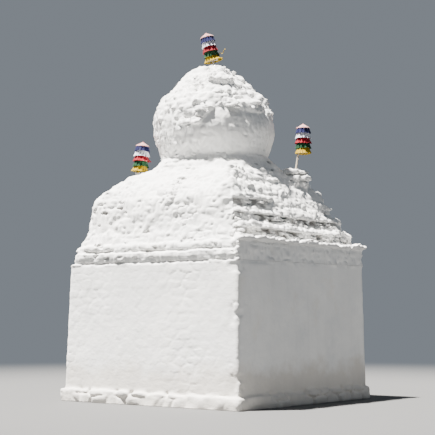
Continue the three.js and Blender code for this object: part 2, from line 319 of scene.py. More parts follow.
def steps_form(p):
    """The four steps, with no slump over them"""
    best = np.full(len(p), 9.0)
    z = p[:, 2] - risen(p)
    for index in range(4):
        foot = PLINTH_TOP + index * STEP_RISE
        nose = foot + NOSE_HEIGHT
        half = FIRST_STEP_HALF - index * STEP_TREAD
        worn = from_rows(foot + STEP_RISE, SLUMP_ROWS, 2) - 0.04
        column = square(p, (half, half, worn, worn), (0.15, 0.2, 0.3, 0.1))
        # The riser stands back a little under its nose, and the nose slopes back to the tread.
        full = buried(p, index)
        batter = BATTERS[index] + (STEP_TREAD / STEP_RISE - BATTERS[index]) * full
        column = column + 0.032 * (1 - full) * ease(nose + 0.010, nose - 0.02, z)
        # A filled riser slopes down to the next nose.
        drop = NOSE_HEIGHT + (STEP_RISE - NOSE_HEIGHT) * full
        column = column - batter * np.clip(nose - z, 0, drop) * ease(-drop - 0.03, -drop, z - nose)
        slope = (column + z - nose) * 0.707
        step = upper(upper(column, slope, 0.02), z - foot - STEP_RISE, 0.05)
        best = np.minimum(best, step)
    return best


def slump_form(p):
    """The slumped mass, which covers the steps at the front and left and mostly lies in them elsewhere"""
    z = p[:, 2]
    crisp, worn = (from_rows(z, SLUMP_CURVE, k) for k in (1, 2))
    column = square(p, (crisp, crisp, worn, worn), (0.2, 0.24, 0.32, 0.16))
    slope = slope_at(z, SLUMP_CURVE, 2)
    return upper(column / np.sqrt(1 + slope**2), z - TERRACE_TOP - 0.01, 0.05)


def facing(p, way):
    """The cosine between a level direction and the way that a point faces"""
    return (p[:, :2] @ way) / np.maximum(np.hypot(p[:, 0], p[:, 1]), 0.05)


def coat_edge(p):
    """The ragged height at which the dome's rough upper part ends. It comes down at its left end."""
    wander = 0.08 * noise(p, 0.34, 51) + 0.08 * noise(p, 0.13, 52)
    return COAT_EDGE - wander - 0.35 * ease(0.52, 0.10, facing(p, BARE_WAY))


def carved(p):
    """How far weather has cut into the dome and stump: under the rough part's edge, and in a hollow"""
    edge = coat_edge(p)
    bottom = p[:, 2] + 0.08 * noise(p, 0.3, 54)
    under = ease(4.40, 4.68, bottom) * ease(edge + 0.025, edge - 0.025, p[:, 2])
    shrunk = 0.036 * ease(0.0, 0.3, facing(p, BARE_WAY)) * under
    reach = np.linalg.norm(p - STUMP_HOLLOW, axis=1) + 0.03 * noise(p, 0.12, 53)
    return shrunk + 0.075 * ease(0.22, 0.16, reach)


def dome_form(p):
    z = p[:, 2]
    radius, lean = (from_rows(z, DOME_CURVE, k) for k in (1, 2))
    slope = slope_at(z, DOME_CURVE, 1)
    x, y = p[:, 0] + lean * VIEW_RIGHT[0], p[:, 1] + lean * VIEW_RIGHT[1]
    # The same slow swells as the CAD dome's
    around = np.arctan2(y, x)
    swell = (np.sin(3 * around + z / 0.4) + np.sin(5 * around - z / 0.26)) / 2
    dome_share = (z - SEAT_TOP) / (DOME_TOP - SEAT_TOP)
    stump_share = (z - DOME_TOP) / (STUMP_TOP - DOME_TOP)
    share = np.where(z < DOME_TOP, dome_share, stump_share)
    lump = np.where(z < DOME_TOP, 0.018, 0.012) * np.sin(math.pi * np.clip(share, 0, 1))
    column = np.hypot(x, y) - radius - lump * swell + carved(p)
    column = column / np.sqrt(1 + np.minimum(slope**2, 6))
    return upper(upper(column, z - STUMP_TOP, 0.05), 3.9 - z, 0.02)


def seat_form(p):
    half = from_rows(p[:, 2], SEAT_ROWS, 1)
    corner = from_rows(p[:, 2], SEAT_ROWS, 2)
    column = square(p, (half - 0.015, half, half + 0.01, half), (corner,) * 4)
    return upper(column / 1.15, p[:, 2] - SEAT_TOP - 0.03, 0.06)


def boulders(p, stones):
    """Distance to rounded stones, each given as its centre, half sizes and turn"""
    best = np.full(len(p), 9.0)
    for centre, half, turn in stones:
        q = p - np.array(centre)
        x = np.abs(q[:, 0] * math.cos(turn) + q[:, 1] * math.sin(turn)) - half[0]
        y = np.abs(q[:, 1] * math.cos(turn) - q[:, 0] * math.sin(turn)) - half[1]
        z = np.abs(q[:, 2]) - half[2]
        edge = 0.5 * min(half)
        x, y, z = x + edge, y + edge, z + edge
        outside = np.sqrt(np.maximum(x, 0) ** 2 + np.maximum(y, 0) ** 2 + np.maximum(z, 0) ** 2)
        best = np.minimum(best, outside + np.minimum(np.maximum(np.maximum(x, y), z), 0) - edge)
    return best


def ring_of_stones(centre, radius, z, count, half, random):
    """Stones that lie in a ring and face outwards"""
    stones = []
    for k in range(count):
        angle = 2 * math.pi * (k + random.uniform(-0.2, 0.2)) / count
        out = radius - half[0] + random.uniform(-0.5, 0.5) * half[0] * 0.3
        size = [h * random.uniform(0.82, 1.12) for h in half]
        place = (centre[0] + out * math.cos(angle), centre[1] + out * math.sin(angle), z)
        stones.append((place, size, angle + random.uniform(-0.2, 0.2)))
    return stones


def cairn_stones():
    random = np.random.default_rng(21)
    stones = ring_of_stones(CAIRN, 0.240, 3.59, 7, (0.10, 0.105, 0.048), random)
    stones += ring_of_stones(CAIRN, 0.270, 3.705, 6, (0.12, 0.13, 0.050), random)
    stones += ring_of_stones(CAIRN, 0.225, 3.805, 5, (0.11, 0.125, 0.040), random)
    stones.append(((CAIRN[0], CAIRN[1], 3.70), (0.13, 0.13, 0.15), 0.3))
    return stones


def cairn_relief(p):
    """The gaps between the cairn's layers, cut in and darkened with painted shade"""
    joint = np.zeros(len(p))
    for height in (3.65, 3.762):
        z = p[:, 2] + 0.012 * noise(p, 0.2, 46) - height
        joint = np.maximum(joint, np.exp(-((z / 0.014) ** 2)))
    joint *= ease(-0.5, 0.1, noise(p, 0.13, 47)) * near(p, CAIRN, CAIRN_REACH)
    return -0.05 * joint, joint


def long_axis(name):
    """The foot, the tip and the direction of a pole or a banner's tube"""
    co = vertices_of(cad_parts[name])
    centre = co.mean(0)
    along = np.linalg.svd(co - centre, full_matrices=False)[2][0]
    along *= np.sign(along[2])
    reach = (co - centre) @ along
    return centre + along * reach.min(), centre + along * reach.max(), along


def vertices_of(node):
    co = np.zeros(len(node.data.vertices) * 3, np.float32)
    node.data.vertices.foreach_get("co", co)
    return co.reshape(-1, 3).astype(float)


def foot_at(name, height):
    """Where a pole's axis passes through a height"""
    foot, _, along = long_axis(name)
    return foot + along * (height - foot[2]) / along[2]


def pole_stones():
    """The stones that wedge the top pole, and those that wedge the left one"""
    random = np.random.default_rng(8)
    top = ring_of_stones(TOP_FOOT, 0.085, 5.632, 7, (0.034, 0.036, 0.022), random)
    left = ring_of_stones(LEFT_FOOT, 0.10, 3.768, 7, (0.042, 0.044, 0.026), random)
    left += ring_of_stones(LEFT_FOOT, 0.06, 3.79, 4, (0.03, 0.03, 0.02), random)
    return top, left


TOP_FOOT = foot_at("top_pole", STUMP_TOP)
LEFT_FOOT = foot_at("left_pole", TERRACE_TOP)
CAIRN_STONES = cairn_stones()
TOP_STONES, LEFT_STONES = pole_stones()


def form(p):
    """Distance to the plain masonry. Each form is worked out only at the heights where it counts."""
    z = p[:, 2]
    best = np.full(len(p), 9.0)
    low = z < 2.75
    best[low] = plinth_form(p[low])
    middle = (z > 2.3) & (z < 4.2)
    steps = lower(steps_form(p[middle]), slump_form(p[middle]), 0.05)
    best[middle] = lower(best[middle], steps, 0.02)
    high = (z > 3.4) & (z < 4.4)
    best[high] = lower(best[high], seat_form(p[high]), 0.10)
    top = z > 3.8
    best[top] = lower(best[top], dome_form(p[top]), 0.06)
    for centre, reach, stones, blend in (
        (CAIRN, 0.5, CAIRN_STONES, 0.006),
        (TOP_FOOT, 0.25, TOP_STONES, 0.02),
        (LEFT_FOOT, 0.25, LEFT_STONES, 0.02),
    ):
        close = near(p, centre, reach) & (z > 3.3)
        if close.any():
            best[close] = lower(best[close], boulders(p[close], stones), blend)
    return best


# Relief

def wall_run(p):
    """How far along a point is on the wall that it is nearest to. Front and back are set apart."""
    return np.where(np.abs(p[:, 0]) > np.abs(p[:, 1]), p[:, 1], p[:, 0] + 9.1)


def billows(p, size, seed):
    """Rounded lumps with creases between them, from about -1 to 1"""
    return 2.6 * np.abs(noise(p, size, seed)) - 0.8


def crisp_share(p):
    """1 on the right and back sides, 0 on the slumped ones"""
    right = ease(-0.03, 0.03, p[:, 0] - np.abs(p[:, 1]) * 0.98)
    back = ease(-0.03, 0.03, p[:, 1] - np.abs(p[:, 0]) * 0.98)
    return np.maximum(right, back)


def rough_share(p):
    """1 where the dome's and stump's coat has fallen off its stones: high up and to the right"""
    edge = coat_edge(p)
    side = facing(p, BARE_WAY) + 0.35 * noise(p, 0.34, 51)
    return ease(edge - 0.03, edge + 0.03, p[:, 2]) * ease(-0.25, 0.15, side)


def stone_relief(p, s, z, length, height, seed, deep=0.045, uneven=0.018, wide=0.015, lost=-2.0):
    """The height of rough stones above their joints' mouths, and the depth of joint from 0 to 1.
    Stones that stand lower than lost, from -1 to 1, are missing."""
    s = s + 0.022 * noise(p, 0.16, seed + 1)
    z = z + 0.016 * noise(p, 0.3, seed + 2) + 0.006 * noise(p, 0.09, seed + 3)
    inside, stand = rubble(s, z, length, height, seed)
    # The joint number also darkens the colour: mud in joints, and painted shade in them and where stones are
    # missing.
    joint = np.maximum(1 - ease(0.1 * wide, wide, inside), 0.9 * ease(lost + 0.1, lost, stand))
    face = uneven * stand * ease(0, 0.03, inside) + 0.012 * ease(0, 0.05, inside)
    return face - deep * joint, joint


def riser_relief(p):
    """The rough stones of the crisp steps' risers, under thick noses of limewash"""
    z = p[:, 2] - PLINTH_TOP - risen(p) + 0.012 * noise(p, 0.5, 35)
    level = np.mod(z, STEP_RISE)
    face, joint = stone_relief(
        p, wall_run(p), z, 0.13, STEP_RISE / 3, 40, deep=0.055, uneven=0.03, wide=0.022, lost=-0.5
    )
    # Lime that ran off the noses lies in heaps at the riser's foot.
    heap = 0.03 + 0.03 * noise(p, 0.2, 33) + 0.012 * noise(p, 0.07, 32)
    riser = ease(0.160, 0.140, level) * ease(heap - 0.012, heap + 0.012, level)
    # The corner's stones are thick with lime.
    corner = ease(0.03, 0.2, np.abs(p[:, 0] - p[:, 1]) + 0.05 * noise(p, 0.2, 31))
    lowest = 0.8 + 0.2 * ease(0.46, 0.42, z)
    bare = lowest * ease(0.85, 0.2, noise(p, 0.3, 36) + 0.6 * noise(p, 0.09, 37))
    # A gap under each nose, cut in and darkened with painted shadow.
    under = np.exp(-(((level - 0.135) / 0.019) ** 2)) * ease(-0.35, 0.25, noise(p, 0.16, 38))
    under *= lowest * corner
    keep = riser * (0.25 + 0.75 * bare) * corner
    out = keep * face - 0.040 * under
    out += (1 - riser) * (0.010 + 0.015 * billows(p, 0.13, 39) + 0.007 * billows(p, 0.06, 30))
    # The third riser is filled in part, the fourth wholly, and the fifth but for its end by the cairn.
    third = ease(0.47, 0.49, z) * buried(p, 2)
    kept = ease(0.72, 0.69, z) * (1 - third)
    kept = np.maximum(kept, ease(0.95, 0.97, z) * ease(0.45, 0.62, p[:, 1] + 0.1 * noise(p, 0.2, 34)))
    lumps = 0.012 * billows(p, 0.13, 39) + 0.008 * billows(p, 0.06, 30)
    return kept * out + (1 - kept) * lumps, kept * np.maximum(keep * np.maximum(joint, 0.3), 0.9 * under)


def bare_relief(p):
    """Stones on the dome and stump, in rings, where the coat has gone"""
    arc = np.interp(p[:, 2], DOME_CURVE[:, 0], DOME_ARC)
    s = 0.9 * np.arctan2(p[:, 1], p[:, 0])
    s = s + 0.07 * noise(p, 0.3, 79)
    arc = arc + 0.06 * noise(p, 0.26, 68)
    face, joint = stone_relief(p, s, arc, 0.19, 0.105, 70, deep=0.03, uneven=0.030)
    rough = rough_share(p)
    washed = ease(-0.45, 0.25, noise(p, 0.2, 77))
    out = rough * ((1 - 0.7 * washed) * face - 0.004)
    out += rough * (0.036 * billows(p, 0.21, 78) + 0.020 * billows(p, 0.10, 67))
    # The stones' joints are darkened: mud, with painted shade.
    return out, rough * joint * (0.85 - 0.5 * washed)


def brushed_relief(p):
    """Dabs of limewash on the dome, thick on its left and thin on its smooth lower right"""
    right = facing(p, 0.98 * VIEW_RIGHT + 0.2 * VIEW_NEAR)
    left = 1 - ease(-0.25, 0.2, right + 0.2 * noise(p, 0.35, 55))
    dabs = 0.014 * billows(p, (0.075, 0.075, 0.12), 56) + 0.008 * noise(p, 0.05, 57)
    return (0.15 + 0.85 * left) * dabs, 0


def band_relief(p):
    """The two broken lines across the slumped sides and the recess under the crisp sides' lip, cut in and
    darkened with painted shadow
    """
    worn = 1 - crisp_share(p)
    z = p[:, 2] - risen(p) + 0.022 * noise(p, 0.4, 91) + 0.014 * noise(p, 0.09, 92)
    broken = ease(-0.3, 0.2, noise(p, 0.22, 93) + 0.5 * noise(p, 0.07, 94))
    line = np.exp(-(((z - 2.238) / 0.014) ** 2)) + np.exp(-(((z - 2.43) / 0.020) ** 2))
    lip = np.exp(-(((z - 2.500) / 0.012) ** 2)) * (1 - worn)
    band = ease(2.23, 2.26, z) * ease(2.44, 2.40, z) * worn
    out = -0.030 * worn * line * broken - 0.012 * lip + 0.012 * band * billows(p, 0.12, 95)
    return out, np.maximum(0.8 * worn * line * broken, 0.55 * lip)


def wall_relief(p):
    """The footing's boulders, and a faint ghost of the wall's courses under its plaster"""
    z = p[:, 2]
    foot = ease(0.245, 0.21, z + 0.02 * noise(p, 0.3, 80))
    face, joint = stone_relief(p, wall_run(p), z + 0.05, 0.34, 0.19, 81, deep=0.04, uneven=0.03, wide=0.05)
    washed = 0.4 + 0.55 * ease(-0.35, 0.25, noise(p, 0.45, 84))
    out = foot * (1 - washed) * face + foot * 0.014 * billows(p, 0.2, 85)
    show = (1 - foot) * ease(2.24, 2.1, z) * (0.25 + 0.75 * ease(-0.1, 0.6, noise(p, 0.9, 86)))
    ghost = stone_relief(p, wall_run(p), z, 0.26, 0.13, 87, deep=0.010, uneven=0.006)[0]
    plastered = ease(1.4, 1.7, p[:, 0])
    out += (0.45 - 0.3 * plastered) * show * ghost
    # The front right corner has lost its edge in bites.
    corner = ease(0.28, 0.0, from_axis(p, NEAR_CORNER))
    bites = ease(0.0, 0.5, noise(p, (0.2, 0.2, 0.14), 88) + 0.5 * noise(p, 0.06, 89))
    out -= 0.024 * corner * bites * (1 - foot)
    return out, 0.6 * foot * (1 - washed) * joint


def relief(p):
    """How far the surface stands out of the plain form, and the depth of joint from 0 to 1, which darkens
    the colour: mud in joints, and painted shade in them and in recesses
    """
    z = p[:, 2]
    out = np.zeros(len(p))
    joint = np.zeros(len(p))

    def lay(here, made):
        out[here] += made[0]
        joint[here] = np.maximum(joint[here], made[1])

    smooth_dome = (z > 4.05) * (1 - rough_share(p)) * ease(4.9, 4.5, z)
    wall = ease(2.24, 2.18, z)
    band = ease(2.45, 2.40, z) * (1 - crisp_share(p))
    thick = (1 - wall) * (1 - 0.65 * smooth_dome) * (1 - 0.4 * band)
    out += wall * (0.010 * noise(p, 0.8, 61) + 0.004 * noise(p, 0.2, 62))
    out += thick * (0.014 * noise(p, 0.45, 63) + 0.015 * billows(p, 0.2, 64) + 0.012 * billows(p, 0.085, 65))
    out += 0.002 * noise(p, 0.045, 66)

    low = z < 2.3
    lay(low, wall_relief(p[low]))
    bands = (z > 2.15) & (z < 2.6)
    lay(bands, band_relief(p[bands]))
    high = z > 4.5
    lay(high, bare_relief(p[high]))
    body = (z > 4.0) & (z < 5.3)
    lay(body, brushed_relief(p[body]))

    risers = (z > 2.54) & (z < 3.70)
    share = crisp_share(p[risers]) * ~near(p[risers], CAIRN, 0.38)
    face, depth = riser_relief(p[risers])
    lay(risers, (share * face, share * depth))

    stump = near(p, CAIRN, 0.32) & (z > 3.55) & (z < 3.9)
    lay(stump, cairn_relief(p[stump]))

    # Patches of the slumped sides where the lime has flaked off, with dark joints, and small pits darkened
    # with painted shade
    worn = (z > 2.55) & (z < 4.1)
    q = p[worn]
    share = (1 - crisp_share(q)) + (q[:, 2] > 3.75) * crisp_share(q)
    gone = share * ease(0.50, 0.68, noise(q, 0.4, 72) + 0.4 * noise(q, 0.1, 73))
    face, depth = stone_relief(q, wall_run(q), q[:, 2], 0.17, 0.10, 100, deep=0.02, uneven=0.016)
    lay(worn, (gone * (face - 0.012), 0.65 * gone * depth))

    pitted = (z > 2.3) & (z < 5.3)
    q = p[pitted]
    share = 1 - crisp_share(q) * (q[:, 2] < 3.7)
    few = ease(-0.25, 0.25, noise(q, 0.5, 74)) * ease(4.3, 4.0, q[:, 2])
    apart = scattered(q * np.array([1, 1, 2.1]), 0.27, 75) + 0.2 * noise(q, (0.06, 0.06, 0.035), 76)
    pit = share * few * ease(0.25, 0.14, apart)
    lay(pitted, (-0.036 * pit, 0.9 * pit))
    return out, joint


# Surfaces

BAND = 0.09  # how far from the plain form relief is worked out
BLOCK = 4  # grid points along one side of a block
FAR = 0.2  # the largest distance in a field
LAP = 0.06  # the regions' boxes reach this far over their borders
DOME_BORDER = 3.93
GROUND = -0.001  # just under 0, to keep the faces that touch the ground


def grid_points(low, index, voxel):
    return (low + index * voxel).astype(np.float32)


def distances(low, counts, voxel):
    """The masonry's field on a grid, worked out only near its surface"""
    blocks = -(-counts // BLOCK)
    index = np.stack(np.meshgrid(*[np.arange(n) for n in blocks], indexing="ij"), -1).reshape(-1, 3)
    middle = grid_points(low, index * BLOCK + (BLOCK - 1) / 2, voxel)
    coarse = form(middle)
    field = np.repeat(np.repeat(np.repeat(coarse.reshape(blocks), BLOCK, 0), BLOCK, 1), BLOCK, 2)
    field = np.clip(field, -FAR, FAR).astype(np.float32)
    # The form's slopes can be steeper than one, so the blocks taken in reach a little further.
    chosen = index[np.abs(coarse) < BAND + 1.3 * BLOCK * voxel]
    offsets = np.stack(np.meshgrid(*[np.arange(BLOCK)] * 3, indexing="ij"), -1).reshape(1, -1, 3)
    cells = (chosen[:, None] * BLOCK + offsets).reshape(-1, 3)
    plain = form(grid_points(low, cells, voxel))
    close = np.abs(plain) < BAND
    plain[close] -= relief(grid_points(low, cells[close], voxel))[0]
    field[cells[:, 0], cells[:, 1], cells[:, 2]] = plain
    return field


def surface(low, high, voxel):
    """Vertices and quads of the masonry's surface in a box"""
    low = np.array(low)
    counts = np.ceil((np.array(high) - low) / voxel).astype(int)
    grid = openvdb.FloatGrid(FAR)
    grid.copyFromArray(distances(low, counts, voxel), tolerance=0)
    points, quads = grid.convertToQuads(0.0)
    return low + points.astype(float) * voxel, quads[:, ::-1].astype(np.int64)


def edges_of(quads):
    return np.concatenate([quads[:, [k, (k + 1) % 4]] for k in range(4)])


def main_body(count, quads):
    """The quads of the largest connected group, without the crumbs that the relief has cut loose"""
    ends = edges_of(quads)
    group = np.arange(count)
    while True:
        low = np.minimum(group[ends[:, 0]], group[ends[:, 1]])
        joined = group.copy()
        for k in range(2):
            np.minimum.at(joined, group[ends[:, k]], low)
        while (joined[joined] != joined).any():
            joined = joined[joined]
        if (joined == group).all():
            break
        group = joined
    group = group[quads[:, 0]]
    return quads[group == np.bincount(group).argmax()]


def vertex_normals(co, quads):
    a, b, c, d = (co[quads[:, k]] for k in range(4))
    faces = np.cross(c - a, d - b)
    normals = np.zeros_like(co)
    for k in range(4):
        for axis in range(3):
            normals[:, axis] += np.bincount(quads[:, k], faces[:, axis], len(co))
    return normals / np.maximum(np.linalg.norm(normals, axis=1), 1e-12)[:, None]


def hollows(co, quads, normals):
    """How hollow the surface is at each vertex: over 0 in dips and joints, under 0 on noses"""
    ends = edges_of(quads)
    count = np.maximum(np.bincount(ends[:, 0], minlength=len(co)), 1)

    def spread(values):
        return np.bincount(ends[:, 0], values[ends[:, 1]], len(co)) / count

    wide = co.copy()
    for _ in range(4):
        wide = np.column_stack([spread(wide[:, k]) for k in range(3)])
    hollow = ((wide - co) * normals).sum(1)
    for _ in range(2):
        hollow = spread(hollow)
    return hollow


def piece_of(centre):
    """The name of the CAD node that a face at this place stands for"""
    z = centre[:, 2]
    tops = [
        ("footing_course", FOOTING_TOP),
        ("plinth_wall", STRING_BOTTOM),
        ("string_course", STRING_TOP),
        ("frieze_course", CAP_BOTTOM),
        ("cap_course", PLINTH_TOP + 0.012),
        ("step_1", PLINTH_TOP + STEP_RISE),
        ("step_2", PLINTH_TOP + 2 * STEP_RISE),
        ("step_3", PLINTH_TOP + 3 * STEP_RISE),
        ("step_4", TERRACE_BOTTOM),
        ("top_terrace", TERRACE_TOP),
        ("dome_seat", SEAT_TOP),
        ("dome", DOME_TOP),
        ("spire_stump", 9),
    ]
    names = np.array([name for name, _ in tops], dtype=object)
    found = names[np.searchsorted([top for _, top in tops], z)]
    found[near(centre, CAIRN, CAIRN_REACH) & (z > TERRACE_BOTTOM + 0.01) & (z < 3.95)] = "back_right_cairn"
    found[near(centre, TOP_FOOT, 0.14) & (z > 5.585)] = "top_pole_stones"
    found[near(centre, LEFT_FOOT, 0.15) & (z > 3.735) & (z < 4)] = "left_pole_stones"
    return found


def mesh_object(name, co, faces, material):
    mesh = bpy.data.meshes.new(name)
    mesh.from_pydata(co.tolist(), [], faces.tolist())
    mesh.validate()
    mesh.shade_smooth()
    mesh.materials.append(material)
    thing = bpy.data.objects.new(name, mesh)
    bpy.context.scene.collection.objects.link(thing)
    return thing


def add_number(thing, name, values):
    attribute = thing.data.attributes.new(name, "FLOAT", "POINT")
    attribute.data.foreach_set("value", values.astype(np.float32))


def close_underside(thing):
    """Fills the footing's open bottom with one flat face"""
    shape = bmesh.new()
    shape.from_mesh(thing.data)
    rim = [e for e in shape.edges if e.is_boundary and max(v.co.z for v in e.verts) < 0.05]
    for v in {v for e in rim for v in e.verts}:
        v.co.z = 0
    bmesh.ops.holes_fill(shape, edges=rim)
    shape.to_mesh(thing.data)
    shape.free()


def show_part(name, co, quads, normals, joint, hollow, material):
    used, flat = np.unique(quads, return_inverse=True)
    thing = mesh_object(f"{name}_limewashed", co[used], flat.reshape(-1, 4), material)
    add_number(thing, "joint", joint[used])
    add_number(thing, "hollow", hollow[used])
    thing.data.normals_split_custom_set_from_vertices(normals[used].tolist())
    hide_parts(name)
    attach(thing, "root")
    return thing


def build_masonry(material):
    # Half width, bottom and top of a box, its voxel, and the heights between which its faces are kept
    regions = [
        (1.9, -LAP, STRING_BOTTOM + LAP, WALL_VOXEL, GROUND, STRING_BOTTOM),
        (1.9, STRING_BOTTOM - LAP, DOME_BORDER + LAP, STEP_VOXEL, STRING_BOTTOM, DOME_BORDER),
        (1.25, DOME_BORDER - LAP, 5.75, DOME_VOXEL, DOME_BORDER, 5.75),
    ]
    for half, low, high, voxel, bottom, top in regions:
        co, quads = surface((-half, -half, low), (half, half, high), voxel)
        quads = main_body(len(co), quads)
        centre = co[quads].mean(1)
        normals = vertex_normals(co, quads)
        hollow = hollows(co, quads, normals) / voxel
        joint = relief(co.astype(np.float32))[1]
        keep = (centre[:, 2] > bottom) & (centre[:, 2] <= top)
        names = piece_of(centre)
        for name in sorted(set(names[keep])):
            part = show_part(name, co, quads[keep & (names == name)], normals, joint, hollow, material)
            if name == "footing_course":
                close_underside(part)


# Materials

def material_nodes(name):
    material = bpy.data.materials.new(name)
    material.use_nodes = True
    nodes, links = material.node_tree.nodes, material.node_tree.links
    return material, nodes, links, nodes["Principled BSDF"]


def node(nodes, kind, **values):
    made = nodes.new(kind)
    for key, value in values.items():
        if key in made.inputs:
            made.inputs[key].default_value = value
        else:
            setattr(made, key, value)
    return made


def set_inputs(made, values):
    for name, value in values.items():
        made.inputs[name].default_value = value


def ramp(nodes, links, source, stops):
    """Colours that change with a number; each stop is a value and its colour"""
    made = nodes.new("ShaderNodeValToRGB")
    while len(made.color_ramp.elements) < len(stops):
        made.color_ramp.elements.new(0.5)
    for element, (value, colour) in zip(made.color_ramp.elements, stops):
        element.position = value
        element.color = (*colour, 1)
    links.new(source, made.inputs[0])
    return made.outputs["Color"]


def grey(value):
    return (value, value, value)


def mixed(nodes, links, share, below, above):
    """The colour of the socket below, mixed with the fixed colour above it"""
    made = nodes.new("ShaderNodeMix")
    made.data_type = "RGBA"
    links.new(share, made.inputs[0])
    links.new(below, made.inputs[6])
    made.inputs[7].default_value = (*above, 1)
    return made.outputs[2]


def own_place(nodes):
    """Where a point lies in its object"""
    return nodes.new("ShaderNodeTexCoord").outputs["Object"]


def scaled(nodes, links, place, scale):
    mapping = nodes.new("ShaderNodeMapping")
    set_inputs(mapping, {"Scale": scale})
    links.new(place, mapping.inputs["Vector"])
    return mapping.outputs[0]


def clouds(nodes, links, place, **values):
    made = node(nodes, "ShaderNodeTexNoise", **values)
    links.new(place, made.inputs["Vector"])
    return made.outputs["Fac"]


def bump(nodes, links, height, normal, strength, distance):
    """A bump made from one socket and linked into another"""
    made = node(nodes, "ShaderNodeBump", Strength=strength, Distance=distance)
    links.new(height, made.inputs["Height"])
    links.new(made.outputs[0], normal)
    return made


def limewash_material():
    """Old limewash with stains, drips, ochre dust, splashed earth and mud in its joints, and painted shade
    in its dips, joints, pits and grooves
    """
    material, nodes, links, shader = material_nodes("limewash")
    place = own_place(nodes)

    def pattern(scale, stretch=(1, 1, 1), detail=6.0, roughness=0.6):
        there = scaled(nodes, links, place, stretch)
        return clouds(nodes, links, there, Scale=scale, Detail=detail, Roughness=roughness)

    def attribute(name):
        made = nodes.new("ShaderNodeAttribute")
        made.attribute_name = name
        return made.outputs["Fac"]

    cloudy = ramp(nodes, links, pattern(1.3), [(0.35, (0.80, 0.80, 0.79)), (0.62, (0.89, 0.885, 0.865))])
    stains = ramp(nodes, links, pattern(3.2, detail=9.0), [(0.50, grey(0.0)), (0.72, grey(0.30))])
    washed = mixed(nodes, links, stains, cloudy, (0.60, 0.62, 0.65))
    drips = ramp(nodes, links, pattern(5.0, (1, 1, 0.12)), [(0.53, grey(0.0)), (0.75, grey(0.28))])
    washed = mixed(nodes, links, drips, washed, (0.66, 0.655, 0.64))
    ochre = ramp(nodes, links, pattern(2.1, detail=10.0), [(0.60, grey(0.0)), (0.75, grey(0.22))])
    washed = mixed(nodes, links, ochre, washed, (0.66, 0.56, 0.42))

    # Earth has splashed and blown on to the lowest courses.
    height = nodes.new("ShaderNodeSeparateXYZ")
    links.new(place, height.inputs[0])
    uneven = node(nodes, "ShaderNodeMath", operation="MULTIPLY_ADD")
    links.new(pattern(2.4), uneven.inputs[0])
    uneven.inputs[1].default_value = -0.9
    links.new(height.outputs[2], uneven.inputs[2])
    splash = ramp(nodes, links, uneven.outputs[0], [(0.0, grey(0.42)), (0.28, grey(0.0))])
    washed = mixed(nodes, links, splash, washed, (0.47, 0.40, 0.31))

    # Dips are tinted grey as painted shade, and joints are darkened as mud with painted shade.
    # Painted shade in the dips, taken from how hollow the mesh is.
    dips = ramp(nodes, links, attribute("hollow"), [(0.03, grey(0.0)), (0.30, grey(0.45))])
    washed = mixed(nodes, links, dips, washed, (0.55, 0.54, 0.53))
    # The joint number darkens the colour: mud in joints, and painted shade in joints, gaps, pits, grooves,
    # lost stones and under the noses and the lip.
    gaps = ramp(nodes, links, attribute("joint"), [(0.30, grey(0.0)), (0.95, grey(0.85))])
    colour = mixed(nodes, links, gaps, washed, (0.215, 0.205, 0.195))
    links.new(colour, shader.inputs["Base Color"])

    rough = ramp(nodes, links, pattern(14.0), [(0.3, grey(0.82)), (0.7, grey(0.97))])
    links.new(rough, shader.inputs["Roughness"])
    set_inputs(shader, {"Specular IOR Level": 0.25})

    grain = bump(nodes, links, pattern(90.0, detail=4.0), shader.inputs["Normal"], 0.35, 0.003)
    brushed = pattern(16.0, (1, 1, 1.6), 8.0, 0.62)
    bump(nodes, links, brushed, grain.inputs["Normal"], 0.5, 0.010)
    return material


def cloth_material(name, colour, faded):
    """Dyed cotton, faded in patches and a little dusty"""
    material, nodes, links, shader = material_nodes(name)
    place = own_place(nodes)
    worn = clouds(nodes, links, place, Scale=14.0, Detail=8.0, Roughness=0.65)
    dyed = ramp(nodes, links, worn, [(0.32, colour), (0.72, faded)])
    dust = clouds(nodes, links, place, Scale=5.0, Detail=5.0)
    dusty = ramp(nodes, links, dust, [(0.5, grey(0.0)), (0.8, grey(0.08))])
    links.new(mixed(nodes, links, dusty, dyed, (0.30, 0.27, 0.22)), shader.inputs["Base Color"])
    set_inputs(shader, {"Roughness": 0.85, "Specular IOR Level": 0.15})
    set_inputs(shader, {"Sheen Weight": 0.05, "Sheen Roughness": 0.5})
    weave = node(nodes, "ShaderNodeTexVoronoi", Scale=420.0)
    links.new(place, weave.inputs["Vector"])
    bump(nodes, links, weave.outputs["Distance"], shader.inputs["Normal"], 0.3, 0.0008)
    return material


def pole_material():
    """Peeled wood, with its grain along the pole"""
    material, nodes, links, shader = material_nodes("peeled_willow")
    place = scaled(nodes, links, own_place(nodes), (60, 60, 4))
    grain = clouds(nodes, links, place, Scale=1.0, Detail=8.0, Roughness=0.6)
    stops = [(0.3, (0.20, 0.15, 0.10)), (0.5, (0.42, 0.36, 0.28)), (0.75, (0.60, 0.55, 0.46))]
    links.new(ramp(nodes, links, grain, stops), shader.inputs["Base Color"])
    set_inputs(shader, {"Roughness": 0.75})
    bump(nodes, links, grain, shader.inputs["Normal"], 0.5, 0.002)
    return material


def wire_material():
    """Rusted wire"""
    material, nodes, links, shader = material_nodes("rusted_wire")
    rust = clouds(nodes, links, own_place(nodes), Scale=45.0, Detail=6.0)
    colour = ramp(nodes, links, rust, [(0.35, (0.20, 0.17, 0.15)), (0.65, (0.33, 0.16, 0.08))])
    links.new(colour, shader.inputs["Base Color"])
    set_inputs(shader, {"Metallic": 0.5, "Roughness": 0.65})
    bump(nodes, links, rust, shader.inputs["Normal"], 0.6, 0.001)
    return material


# Banners

